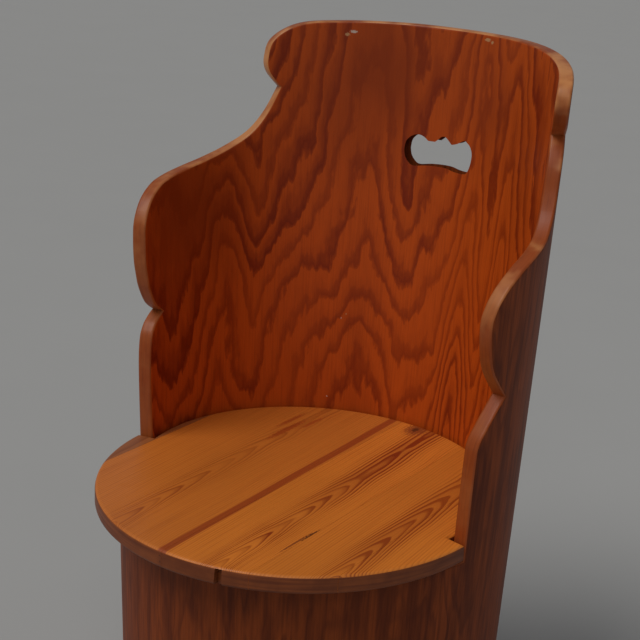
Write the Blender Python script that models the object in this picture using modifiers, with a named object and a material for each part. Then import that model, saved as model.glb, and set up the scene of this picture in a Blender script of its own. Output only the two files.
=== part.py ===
"""Child's barrel potty chair: a bent-wood barrel with arms and back, a lift-off board lid and a lift-out pot.

Metres, +Z up, the sitter faces -Y. The origin is on the floor, at the middle of the chair's plan.
"""

import math

import bmesh
import bpy
from mathutils import Matrix, Vector

# ---------------------------------------------------------------- driving dimensions
WALL_RADIUS = 0.155          # outer half-width of the barrel at seat height
DEPTH_RATIO = 0.95           # the barrel is a little shallower than it is wide
FLARE = 0.033 / WALL_RADIUS  # growth of the outer section per metre of height
INNER_FLARE = 0.0404 / WALL_RADIUS   # the wall is thinned a little towards its top
WALL = 0.012                 # bent plywood wall, at seat height
SEAT_HEIGHT = 0.235          # top of the lid
BACK_HEIGHT = 0.3285         # top of the back above the lid
GLIDE_HEIGHT = 0.003
GAP = 0.0003                 # between pieces that touch

LID_THICK = 0.0135
LID_PLAY = 0.0020            # between the lid and the wall round it
LIP_PLAY = 0.0012            # between the lid's lip and the wall's front edges
LIP_HALF_WIDTH = 0.976 * WALL_RADIUS
LIP_HALF_DEPTH = 1.006 * WALL_RADIUS
LIP_CENTRE_Y = -0.149 * WALL_RADIUS
OPENING_ANGLE = 76.3         # the wall's front edges stand at this angle either side of the front
BOARD_JOINTS = [-0.133, -0.068, -0.003, 0.061, 0.109]

BATTEN_THICK = 0.012
BATTEN_WIDTH = 0.030
BATTEN_HALF_LENGTH = 0.108
BATTEN_Y = 0.064
BATTEN_SCREW_X = [-0.098, -0.036, 0.028, 0.084]

POT_BOARD_THICK = 0.012
POT_BOARD_TOP = SEAT_HEIGHT - 0.0300
POT_HOLE_RADIUS = 0.089
POT_RIM_RADIUS = 0.099
POT_RIM_THICK = 0.003
POT_TOP_RADIUS = 0.0865
POT_FOOT_RADIUS = 0.068
POT_HEIGHT = 0.118
POT_WALL = 0.003

LEDGE_DEPTH = 0.011
CLEAT_DEPTH = 0.020
CLEAT_HEIGHT = 0.030
CLEAT_ANGLES = {"front_left": -42.0, "front_right": 42.0, "rear_left": -138.0, "rear_right": 138.0}
CLEAT_HALF_SPAN = 11.0
LEDGE_ANGLES = {"left": -104.0, "rear": 180.0, "right": 104.0}
LEDGE_HALF_SPAN = 13.0
GLIDE_RADIUS = 0.005
GLIDE_ANGLES = {"front_left": -45.0, "front_right": 45.0, "rear_left": -135.0, "rear_right": 135.0}

COLUMN_STEP = 5.0            # the wall is faceted in columns of this many degrees

# the wall's edge above the seat, one list a side: (degrees from the front, height above the seat, is a corner)
EDGE_RIGHT = [
    (76.6, 0.0000, True), (76.5, 0.0600, False), (77.0, 0.0745, False), (79.5, 0.0850, False),
    (83.0, 0.0960, False),
    (86.3, 0.1045, True),
    (80.0, 0.1240, False), (77.6, 0.1400, False), (76.6, 0.1600, False), (77.6, 0.1702, False),
    (79.5, 0.1784, False), (82.9, 0.1872, False), (88.4, 0.1959, False), (94.6, 0.2018, False),
    (101.5, 0.2085, False), (107.0, 0.2210, False), (110.0, 0.2360, False), (112.5, 0.2560, False),
    (117.5, 0.2735, True),
    (112.0, 0.2840, False), (109.5, 0.2980, False), (113.0, 0.3125, False), (126.5, 0.3218, False),
    (148.0, 0.3275, False), (180.0, BACK_HEIGHT, False),
]
EDGE_LEFT = [
    (76.3, 0.0000, True), (75.9, 0.0550, False), (76.8, 0.0794, False), (79.0, 0.0901, False),
    (81.9, 0.0963, False),
    (84.3, 0.1000, True),
    (80.0, 0.1085, False), (76.4, 0.1234, False), (74.9, 0.1350, False), (73.9, 0.1457, False),
    (73.6, 0.1617, False), (74.4, 0.1770, False), (78.2, 0.1917, False), (83.7, 0.2017, False),
    (89.3, 0.2065, False), (97.7, 0.2114, False), (105.2, 0.2162, False), (113.3, 0.2241, False),
    (120.7, 0.2356, False), (125.8, 0.2517, False),
    (129.7, 0.2720, True),
    (126.0, 0.2840, False), (125.4, 0.2960, False), (127.6, 0.3110, False), (135.7, 0.3230, False),
    (149.0, 0.3268, False), (166.0, 0.3285, False), (180.0, BACK_HEIGHT, False),
]
# the hand hole, sawn straight through the back: (x, height above the seat, is a corner)
HAND_HOLE = [
    (-0.0263, 0.2290, False), (-0.0251, 0.2362, False), (-0.0200, 0.2412, False), (-0.0145, 0.2425, False),
    (-0.0100, 0.2413, False), (-0.0060, 0.2385, True), (0.0003, 0.2386, True), (0.0034, 0.2411, False),
    (0.0057, 0.2433, False), (0.0079, 0.2440, False), (0.0105, 0.2433, False), (0.0160, 0.2386, True),
    (0.0210, 0.2401, False), (0.0278, 0.2437, False), (0.0313, 0.2424, False), (0.0345, 0.2396, False),
    (0.0366, 0.2345, False), (0.0362, 0.2270, False), (0.0338, 0.2200, False), (0.0304, 0.2176, False),
    (0.0215, 0.2175, False), (0.0126, 0.2191, False), (0.0041, 0.2192, False), (-0.0061, 0.2185, False),
    (-0.0170, 0.2169, False), (-0.0216, 0.2190, False), (-0.0250, 0.2235, False),
]

FLARE_TOP = 1.0 + FLARE * BACK_HEIGHT
BACK_REACH = DEPTH_RATIO * WALL_RADIUS * FLARE_TOP
FRONT_REACH = LIP_HALF_DEPTH - LIP_CENTRE_Y
BARREL_Y = (FRONT_REACH - BACK_REACH) / 2.0
UNDER_LID = SEAT_HEIGHT - LID_THICK

PINE = (0.47, 0.20, 0.06)
PINE_LIGHT = (0.55, 0.27, 0.09)
PINE_INSIDE = (0.60, 0.38, 0.20)
STEEL = (0.55, 0.54, 0.52)
ENAMEL = (0.86, 0.86, 0.83)
NYLON = (0.12, 0.10, 0.09)


# ---------------------------------------------------------------- helpers
def clear_scene():
    for old in list(bpy.data.objects):
        bpy.data.objects.remove(old, do_unlink=True)


def new_collection(name):
    made = bpy.data.collections.new(name)
    bpy.context.scene.collection.children.link(made)
    return made


def new_material(name, colour, roughness, metallic=0.0):
    material = bpy.data.materials.new(name)
    material.use_nodes = True
    shader = material.node_tree.nodes["Principled BSDF"]
    shader.inputs["Base Color"].default_value = (*colour, 1.0)
    shader.inputs["Roughness"].default_value = roughness
    shader.inputs["Metallic"].default_value = metallic
    return material


def wall_reach(z, depth):
    """Half-width of the barrel at height z: depth in from its outer face, or on inwards past its inner one."""
    outer = WALL_RADIUS * (1.0 + FLARE * (z - SEAT_HEIGHT))
    inner = (WALL_RADIUS - WALL) * (1.0 + INNER_FLARE * (z - SEAT_HEIGHT))
    if depth > WALL:
        return inner - (depth - WALL)
    return outer + (inner - outer) * depth / WALL


def wall_point(angle, z, depth):
    """A point in the wall: degrees from the front, height, and depth in from the outer face."""
    turn = math.radians(angle)
    reach = wall_reach(z, depth)
    return Vector((reach * math.sin(turn), -DEPTH_RATIO * reach * math.cos(turn), z))


def add_object(name, mesh, material, collection):
    made = bpy.data.objects.new(name, mesh)
    collection.objects.link(made)
    made.parent = AXIS
    mesh.materials.clear()
    mesh.materials.append(material)
    return made


def mesh_of_curve(curve_data):
    """Evaluate a filled curve as a mesh whose caps are welded to its sides."""
    carrier = bpy.data.objects.new("outline", curve_data)
    bpy.context.scene.collection.objects.link(carrier)
    graph = bpy.context.evaluated_depsgraph_get()
    mesh = bpy.data.meshes.new_from_object(carrier.evaluated_get(graph))
    bpy.data.objects.remove(carrier, do_unlink=True)
    bpy.data.curves.remove(curve_data)
    shape = bmesh.new()
    shape.from_mesh(mesh)
    bmesh.ops.remove_doubles(shape, verts=shape.verts, dist=0.00001)
    bmesh.ops.recalc_face_normals(shape, faces=shape.faces)
    shape.to_mesh(mesh)
    shape.free()
    return mesh


def flat_curve(name, thickness):
    curve = bpy.data.curves.new(name, "CURVE")
    curve.dimensions = "2D"
    curve.fill_mode = "BOTH"
    curve.extrude = thickness / 2.0
    return curve


def add_outline(curve, points):
    """Add a closed outline of straight runs through (x, y) points."""
    spline = curve.splines.new("POLY")
    spline.points.add(len(points) - 1)
    for target, (x, y) in zip(spline.points, points):
        target.co = (x, y, 0.0, 1.0)
    spline.use_cyclic_u = True


def plate(name, points, bottom, thickness, material, collection):
    """A flat plate with the plan outline points, standing on height bottom."""
    curve = flat_curve(name, thickness)
    add_outline(curve, points)
    mesh = mesh_of_curve(curve)
    mesh.transform(Matrix.Translation((0.0, 0.0, bottom + thickness / 2.0)))
    return add_object(name, mesh, material, collection)


def smooth_run(points, steps):
    """Points along a smooth curve through points, which breaks at those marked as corners."""
    out = []
    last = len(points) - 1
    for index in range(last):
        here = Vector(points[index][:2])
        there = Vector(points[index + 1][:2])
        before = here if index == 0 or points[index][2] else Vector(points[index - 1][:2])
        after = there if index + 1 == last or points[index + 1][2] else Vector(points[index + 2][:2])
        for step in range(steps):
            t = step / steps
            blend = (
                2.0 * here + (there - before) * t
                + (2.0 * before - 5.0 * here + 4.0 * there - after) * t * t
                + (3.0 * here - before - 3.0 * there + after) * t * t * t
            )
            out.append((blend.x / 2.0, blend.y / 2.0))
    out.append(tuple(points[last][:2]))
    return out


def cut(target, cutter, operation="DIFFERENCE"):
    modifier = target.modifiers.new("cut_" + cutter.name, "BOOLEAN")
    modifier.operation = operation
    modifier.object = cutter
    modifier.solver = "EXACT"


def as_cutter(made):
    made.hide_render = True
    made.display_type = "WIRE"
    return made


def turned(name, profile, steps, material, collection):
    """A solid turned about Z from (radius, height) points that run down its outer side."""
    mesh = bpy.data.meshes.new(name)
    mesh.from_pydata([(r, 0.0, z) for r, z in profile], [(i, i + 1) for i in range(len(profile) - 1)], [])
    made = add_object(name, mesh, material, collection)
    screw = made.modifiers.new("turn", "SCREW")
    screw.steps = steps
    screw.render_steps = steps
    screw.use_merge_vertices = True
    screw.merge_threshold = 0.00005
    return made


def aim(made, position, direction):
    """Place a turned piece with its own +Z along direction."""
    made.location = position
    made.rotation_mode = "QUATERNION"
    made.rotation_quaternion = Vector(direction).to_track_quat("Z", "Y")


# ---------------------------------------------------------------- the barrel wall
def wall_mesh():
    """The wall's flat outline, cut into columns, wrapped round the barrel and closed at the back."""
    arc = math.radians(1.0) * WALL_RADIUS
    half_turn = 180.0 * arc
    sides = []
    for edge in (EDGE_RIGHT, EDGE_LEFT):
        run = smooth_run([(angle * arc, SEAT_HEIGHT + height, corner) for angle, height, corner in edge], 3)
        sides.append([(run[0][0], UNDER_LID - GAP)] + run)
    outline = [(-half_turn, GLIDE_HEIGHT), (half_turn, GLIDE_HEIGHT)]
    outline += list(reversed(sides[0])) + [(-x, z) for x, z in sides[1]]
    curve = flat_curve("wall", WALL)
    add_outline(curve, outline)
    mesh = mesh_of_curve(curve)
    shape = bmesh.new()
    shape.from_mesh(mesh)
    columns = int(360.0 / COLUMN_STEP)
    for column in range(1, columns):
        bmesh.ops.bisect_plane(
            shape, geom=shape.verts[:] + shape.edges[:] + shape.faces[:], dist=0.000001,
            plane_co=((column * COLUMN_STEP - 180.0) * arc, 0.0, 0.0), plane_no=(1.0, 0.0, 0.0),
        )
    ends = [f for f in shape.faces if all(abs(abs(v.co.x) - half_turn) < 0.00001 for v in f.verts)]
    bmesh.ops.delete(shape, geom=ends, context="FACES_ONLY")
    for vert in shape.verts:
        vert.co = wall_point(vert.co.x / arc, vert.co.y, WALL / 2.0 - vert.co.z)
    bmesh.ops.remove_doubles(shape, verts=shape.verts, dist=0.00001)
    bmesh.ops.dissolve_limit(shape, angle_limit=0.002, verts=shape.verts, edges=shape.edges)
    bmesh.ops.triangulate(shape, faces=[f for f in shape.faces if len(f.verts) > 4])
    bmesh.ops.recalc_face_normals(shape, faces=shape.faces)
    shape.to_mesh(mesh)
    shape.free()
    return mesh


def hand_hole_cutter():
    """The hand hole's outline, standing upright and run straight through the back."""
    ring = [(x, SEAT_HEIGHT + height, corner) for x, height, corner in HAND_HOLE]
    curve = flat_curve("hand_hole", 0.060)
    add_outline(curve, smooth_run(ring + [ring[0]], 3)[:-1])
    mesh = mesh_of_curve(curve)
    back = DEPTH_RATIO * WALL_RADIUS
    mesh.transform(Matrix.Translation((0.0, back, 0.0)) @ Matrix.Rotation(math.radians(90.0), 4, "X"))
    return as_cutter(add_object("hand_hole_cutter", mesh, MATERIALS["pine"], CUTTERS))


def build_shell():
    shell = add_object("barrel_shell", wall_mesh(), MATERIALS["pine"], PARTS)
    cut(shell, hand_hole_cutter())
    return shell


# ---------------------------------------------------------------- the lid
def lid_outline():
    """The lid's plan: round inside the wall, and out over the front as a lip."""
    points = []
    for step in range(0, 37):
        angle = OPENING_ANGLE + (360.0 - 2.0 * OPENING_ANGLE) * step / 36.0
        point = wall_point(angle, UNDER_LID, WALL + LID_PLAY)
        points.append((point.x, point.y))
    front_y = wall_point(OPENING_ANGLE, UNDER_LID, 0.0).y - LIP_PLAY
    lip_turn = math.acos((LIP_CENTRE_Y - front_y) / LIP_HALF_DEPTH)
    lip = []
    for step in range(0, 33):
        turn = -lip_turn + 2.0 * lip_turn * step / 32.0
        lip.append((LIP_HALF_WIDTH * math.sin(turn), LIP_CENTRE_Y - LIP_HALF_DEPTH * math.cos(turn)))
    corner = (points[0][0], wall_point(OPENING_ANGLE, UNDER_LID, WALL).y - LIP_PLAY)
    mirror = (-corner[0], corner[1])
    return points[1:-1] + [mirror] + lip + [corner]


def box_cutter(name, low, high):
    bpy.ops.mesh.primitive_cube_add(size=1.0)
    made = bpy.context.object
    made.name = name
    for owner in list(made.users_collection):
        owner.objects.unlink(made)
    CUTTERS.objects.link(made)
    made.data.transform(Matrix.Diagonal((*[b - a for a, b in zip(low, high)], 1.0)))
    made.location = [(a + b) / 2.0 for a, b in zip(low, high)]
    made.parent = AXIS
    return as_cutter(made)


def build_lid():
    """Edge-glued boards side by side, with two battens screwed across underneath."""
    outline = lid_outline()
    limits = [-LIP_HALF_WIDTH - 0.01] + BOARD_JOINTS + [LIP_HALF_WIDTH + 0.01]
    boards = []
    for index in range(len(limits) - 1):
        board = plate(f"lid_board_{index + 1}", outline, UNDER_LID, LID_THICK, MATERIALS["lid"], PARTS)
        low = (limits[index] + GAP / 2.0, -0.3, UNDER_LID - 0.01)
        high = (limits[index + 1] - GAP / 2.0, 0.3, SEAT_HEIGHT + 0.01)
        cut(board, box_cutter(f"board_{index + 1}_cutter", low, high), "INTERSECT")
        boards.append(board)
    top = UNDER_LID - GAP
    for label, y in (("front", -BATTEN_Y), ("rear", BATTEN_Y)):
        half = BATTEN_WIDTH / 2.0
        points = [
            (-BATTEN_HALF_LENGTH, y - half), (BATTEN_HALF_LENGTH, y - half),
            (BATTEN_HALF_LENGTH, y + half), (-BATTEN_HALF_LENGTH, y + half),
        ]
        name = f"lid_batten_{label}"
        batten = plate(name, points, top - BATTEN_THICK, BATTEN_THICK, MATERIALS["inside"], PARTS)
        for number, x in enumerate(BATTEN_SCREW_X, start=1):
            head = Vector((x, y, top - BATTEN_THICK))
            add_screw(f"batten_screw_{label}_{number}", head, (0.0, 0.0, 1.0), 0.019, [batten, boards[number]])


# ---------------------------------------------------------------- screws
SCREW_HEAD_RADIUS = 0.0036
SCREW_SHANK_RADIUS = 0.0017
SCREW_HEAD_HEIGHT = 0.0022


def screw_profile(length, extra):
    """Countersunk screw from its head's flat face, at 0, to its tip at length, grown by extra."""
    head = SCREW_HEAD_RADIUS + extra
    shank = SCREW_SHANK_RADIUS + extra
    neck = SCREW_HEAD_HEIGHT
    tip = length + extra
    return [(0.0, tip), (shank * 0.35, tip), (shank, tip - 0.003), (shank, neck), (head, 0.0), (0.0, 0.0)]


def add_screw(name, head, direction, length, holders):
    """A screw whose head is flush at head and points along direction, with its hole in each holder."""
    steps = 12
    screw = turned(name, screw_profile(length, 0.0), steps, MATERIALS["steel"], PARTS)
    aim(screw, head, direction)
    profile = screw_profile(length, GAP)
    profile[-1] = (0.0, -0.002)
    profile.insert(-1, (profile[-2][0], -0.002))
    hole = turned(name + "_hole", profile, steps, MATERIALS["steel"], CUTTERS)
    aim(hole, head, direction)
    as_cutter(hole)
    for holder in holders:
        cut(holder, hole)
    return screw


# ---------------------------------------------------------------- inside the barrel
def sector(centre, half_span, z, outer_depth, inner_depth):
    """Plan of a block that follows the wall: outer_depth and inner_depth in from its outer face."""
    steps = 4
    angles = [centre - half_span + 2.0 * half_span * step / steps for step in range(steps + 1)]
    outer = [wall_point(angle, z, outer_depth) for angle in angles]
    inner = [wall_point(angle, z, inner_depth) for angle in reversed(angles)]
    return [(p.x, p.y) for p in outer + inner]


def build_inside(shell):
    """The fixed board with the pot hole, the cleats that carry it and the ledges the lid rests on."""
    board_bottom = POT_BOARD_TOP - POT_BOARD_THICK
    skin = WALL + 0.0008
    plan = []
    for step in range(72):
        point = wall_point(step * 5.0, board_bottom, skin)
        plan.append((point.x, point.y))
    curve = flat_curve("pot_board", POT_BOARD_THICK)
    add_outline(curve, plan)
    ring = []
    for step in range(48):
        turn = math.radians(step * 7.5)
        ring.append((POT_HOLE_RADIUS * math.cos(turn), POT_HOLE_RADIUS * math.sin(turn)))
    add_outline(curve, ring)
    mesh = mesh_of_curve(curve)
    mesh.transform(Matrix.Translation((0.0, 0.0, board_bottom + POT_BOARD_THICK / 2.0)))
    pot_board = add_object("pot_board", mesh, MATERIALS["inside"], PARTS)

    cleat_top = board_bottom - GAP
    cleat_bottom = cleat_top - CLEAT_HEIGHT
    for label, angle in CLEAT_ANGLES.items():
        points = sector(angle, CLEAT_HALF_SPAN, cleat_bottom, skin, WALL + CLEAT_DEPTH)
        cleat = plate(f"cleat_{label}", points, cleat_bottom, CLEAT_HEIGHT, MATERIALS["inside"], PARTS)
        for number, offset in enumerate((-6.0, 6.0), start=1):
            z = cleat_bottom + CLEAT_HEIGHT * 0.42
            inner = wall_point(angle + offset, cleat_bottom, WALL + CLEAT_DEPTH)
            outer = wall_point(angle + offset, cleat_bottom, 0.0)
            head = Vector((inner.x, inner.y, z))
            way = Vector((outer.x - inner.x, outer.y - inner.y, 0.0)).normalized()
            head = head + way * 0.0006
            add_screw(f"cleat_screw_{label}_{number}", head, way, 0.027, [cleat, shell])
        middle = wall_point(angle, board_bottom, WALL + CLEAT_DEPTH * 0.5)
        head = Vector((middle.x, middle.y, POT_BOARD_TOP - 0.0002))
        add_screw(f"board_screw_{label}", head, (0.0, 0.0, -1.0), 0.026, [pot_board, cleat])

    ledge_bottom = POT_BOARD_TOP + GAP
    ledge_height = UNDER_LID - GAP - ledge_bottom
    for label, angle in LEDGE_ANGLES.items():
        points = sector(angle, LEDGE_HALF_SPAN, ledge_bottom, skin, WALL + LEDGE_DEPTH)
        plate(f"lid_ledge_{label}", points, ledge_bottom, ledge_height, MATERIALS["inside"], PARTS)


def build_pot():
    """A round pot that hangs by its rim in the fixed board's hole."""
    top = POT_BOARD_TOP + GAP + POT_RIM_THICK
    foot = top - POT_HEIGHT
    under_rim = top - POT_RIM_THICK
    inner_top = POT_TOP_RADIUS - POT_WALL
    inner_foot = POT_FOOT_RADIUS - POT_WALL
    profile = [
        (0.0, foot + POT_WALL), (inner_foot - 0.012, foot + POT_WALL), (inner_foot, foot + POT_WALL + 0.010),
        (inner_top, top - 0.004), (inner_top + 0.003, top), (POT_RIM_RADIUS, top),
        (POT_RIM_RADIUS, under_rim), (POT_TOP_RADIUS, under_rim), (POT_FOOT_RADIUS, foot + 0.012),
        (POT_FOOT_RADIUS - 0.010, foot), (0.0, foot),
    ]
    turned("pot", profile, 48, MATERIALS["enamel"], PARTS)


def build_glides():
    for label, angle in GLIDE_ANGLES.items():
        middle = wall_point(angle, GLIDE_HEIGHT, WALL / 2.0)
        top = GLIDE_HEIGHT - GAP
        profile = [
            (0.0, top), (GLIDE_RADIUS, top), (GLIDE_RADIUS, 0.001), (GLIDE_RADIUS - 0.001, 0.0), (0.0, 0.0),
        ]
        glide = turned(f"glide_{label}", profile, 20, MATERIALS["nylon"], PARTS)
        glide.location = (middle.x, middle.y, 0.0)


# ---------------------------------------------------------------- build
clear_scene()
PARTS = new_collection("potty_training_chair")
CUTTERS = new_collection("cutters")
AXIS = bpy.data.objects.new("barrel_axis", None)
PARTS.objects.link(AXIS)
AXIS.location = (0.0, BARREL_Y, 0.0)
MATERIALS = {
    "pine": new_material("pine_wall", PINE, 0.38),
    "lid": new_material("pine_lid", PINE_LIGHT, 0.40),
    "inside": new_material("pine_inside", PINE_INSIDE, 0.60),
    "steel": new_material("zinc_steel", STEEL, 0.35, 1.0),
    "enamel": new_material("white_enamel", ENAMEL, 0.15),
    "nylon": new_material("dark_nylon", NYLON, 0.50),
}
SHELL = build_shell()
build_lid()
build_inside(SHELL)
build_pot()
build_glides()
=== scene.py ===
"""The looks of the barrel potty chair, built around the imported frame: varnished pine and soft light.

Metres, +Z up, the sitter faces -Y. Colours are linear red, green and blue.
"""
import math

import bmesh
import bpy
from mathutils import Matrix, Vector


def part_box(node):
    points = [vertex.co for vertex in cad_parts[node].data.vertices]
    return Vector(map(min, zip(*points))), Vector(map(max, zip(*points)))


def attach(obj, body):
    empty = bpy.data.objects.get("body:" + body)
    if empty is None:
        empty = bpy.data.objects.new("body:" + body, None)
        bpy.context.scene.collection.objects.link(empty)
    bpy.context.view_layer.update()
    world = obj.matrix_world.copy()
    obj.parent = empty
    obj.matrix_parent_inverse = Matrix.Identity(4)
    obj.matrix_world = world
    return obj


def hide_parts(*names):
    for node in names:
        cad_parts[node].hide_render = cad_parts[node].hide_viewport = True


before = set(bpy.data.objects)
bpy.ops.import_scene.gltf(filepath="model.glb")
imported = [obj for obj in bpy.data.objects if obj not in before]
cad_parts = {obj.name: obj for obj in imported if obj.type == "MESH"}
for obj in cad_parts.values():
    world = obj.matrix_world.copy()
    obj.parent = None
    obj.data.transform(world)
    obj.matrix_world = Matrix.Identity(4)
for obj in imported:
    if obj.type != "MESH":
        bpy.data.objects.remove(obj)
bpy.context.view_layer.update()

# ---------------------------------------------------------------- sizes, metres
WALL_RADIUS = 0.155
DEPTH_RATIO = 0.95
FLARE = 0.033 / WALL_RADIUS
INNER_FLARE = 0.0404 / WALL_RADIUS
WALL = 0.012
SEAT_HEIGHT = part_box("lid_board_3")[1][2]
UNDER_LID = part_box("lid_board_3")[0][2]
LID_THICK = SEAT_HEIGHT - UNDER_LID
BACK_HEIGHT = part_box("barrel_shell")[1][2] - SEAT_HEIGHT
WALL_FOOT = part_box("barrel_shell")[0][2]
BACK_REACH = DEPTH_RATIO * WALL_RADIUS * (1.0 + FLARE * BACK_HEIGHT)
BARREL_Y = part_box("barrel_shell")[1][1] - BACK_REACH
ARC = math.radians(1.0) * WALL_RADIUS

EASE = 0.0021                # radius of the eased edges of the wall
LIP_EASE = 0.0026            # radius of the eased edges of the lid
OPENING_ANGLE = 76.3         # the wall's front edges stand at this angle either side of the front
RIM_GAP = 0.0003             # between the wall's low front rim and the lid on it
COLUMN_STEP = 2.0            # the wall is faceted in columns of this many degrees
WALL_OVERLAP = 184.0         # the flat wall runs on past half a turn to this, and is trimmed at 180
LIP_HALF_WIDTH = 0.976 * WALL_RADIUS
LIP_HALF_DEPTH = 1.006 * WALL_RADIUS
LIP_CENTRE_Y = -0.149 * WALL_RADIUS
LID_PLAY = 0.0020            # between the lid and the wall round it
LIP_PLAY = 0.0012            # between the lid's lip and the wall's front edges
LID_STEPS = 120              # straight runs in each of the two arcs of the lid's outline
BOARD_JOINTS = [-0.133, -0.068, -0.003, 0.061, 0.109]
JOINT_GAP = 0.00016          # between neighbouring boards
GRAIN_SKEW = 0.036           # the boards' grain runs a little askew of their joints
STRIPE_SKEW = 0.026          # and the dark stripe a little less
LIP_SLOT = (0.0382, 0.0436)  # the narrow upright slot in the lip's rim, left and right
LIP_SLOT_TOP = 0.0012        # from the slot's upper end to the lid's top
LIP_SLOT_DEPTH = 0.0095
HOLE_REACH = (0.10, 0.20)    # the hand hole is sawn between these distances behind the barrel's axis
CURVE_STEPS = 8              # straight runs between two marks of a smooth outline

# the wall's edge above the seat, one list a side:
# (degrees from the front, height above the seat, is a corner)
EDGE_RIGHT = [
    (76.6, 0.0000, True), (76.5, 0.0600, False), (77.0, 0.0745, False), (79.5, 0.0850, False),
    (83.0, 0.0960, False),
    (86.3, 0.1045, True),
    (80.0, 0.1240, False), (77.6, 0.1400, False), (76.6, 0.1600, False), (77.6, 0.1702, False),
    (79.5, 0.1784, False), (82.9, 0.1872, False), (88.4, 0.1959, False), (94.6, 0.2018, False),
    (101.5, 0.2085, False), (107.0, 0.2210, False), (110.0, 0.2360, False), (112.5, 0.2560, False),
    (117.5, 0.2735, True),
    (112.0, 0.2840, False), (109.5, 0.2980, False), (113.0, 0.3125, False), (126.5, 0.3218, False),
    (148.0, 0.3275, False), (180.0, BACK_HEIGHT, False),
]
EDGE_LEFT = [
    (76.3, 0.0000, True), (75.9, 0.0550, False), (76.8, 0.0794, False), (79.0, 0.0901, False),
    (81.9, 0.0963, False),
    (84.3, 0.1000, True),
    (80.0, 0.1085, False), (76.4, 0.1234, False), (74.9, 0.1350, False), (73.9, 0.1457, False),
    (73.6, 0.1617, False), (74.4, 0.1770, False), (78.2, 0.1917, False), (83.7, 0.2017, False),
    (89.3, 0.2065, False), (97.7, 0.2114, False), (105.2, 0.2162, False), (113.3, 0.2241, False),
    (120.7, 0.2356, False), (125.8, 0.2517, False),
    (129.7, 0.2720, True),
    (126.0, 0.2840, False), (125.4, 0.2960, False), (127.6, 0.3110, False), (135.7, 0.3230, False),
    (149.0, 0.3268, False), (166.0, 0.3285, False), (180.0, BACK_HEIGHT, False),
]
# the hand hole, sawn straight through the back: (x, height above the seat, is a corner)
HAND_HOLE = [
    (-0.0263, 0.2290, False), (-0.0251, 0.2362, False), (-0.0200, 0.2412, False), (-0.0145, 0.2425, False),
    (-0.0100, 0.2413, False), (-0.0060, 0.2385, True), (0.0003, 0.2386, True), (0.0034, 0.2411, False),
    (0.0057, 0.2433, False), (0.0079, 0.2440, False), (0.0105, 0.2433, False), (0.0160, 0.2386, True),
    (0.0210, 0.2401, False), (0.0278, 0.2437, False), (0.0313, 0.2424, False), (0.0345, 0.2396, False),
    (0.0366, 0.2345, False), (0.0362, 0.2270, False), (0.0338, 0.2200, False), (0.0304, 0.2176, False),
    (0.0215, 0.2175, False), (0.0126, 0.2191, False), (0.0041, 0.2192, False), (-0.0061, 0.2185, False),
    (-0.0170, 0.2169, False), (-0.0216, 0.2190, False), (-0.0250, 0.2235, False),
]


# ---------------------------------------------------------------- materials
RINGS_PER_METRE = 23.0       # of the wall's inner veneer, up the wall
PLY_THICK = 0.0040
STRIPE_BLUR = 0.0007


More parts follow.
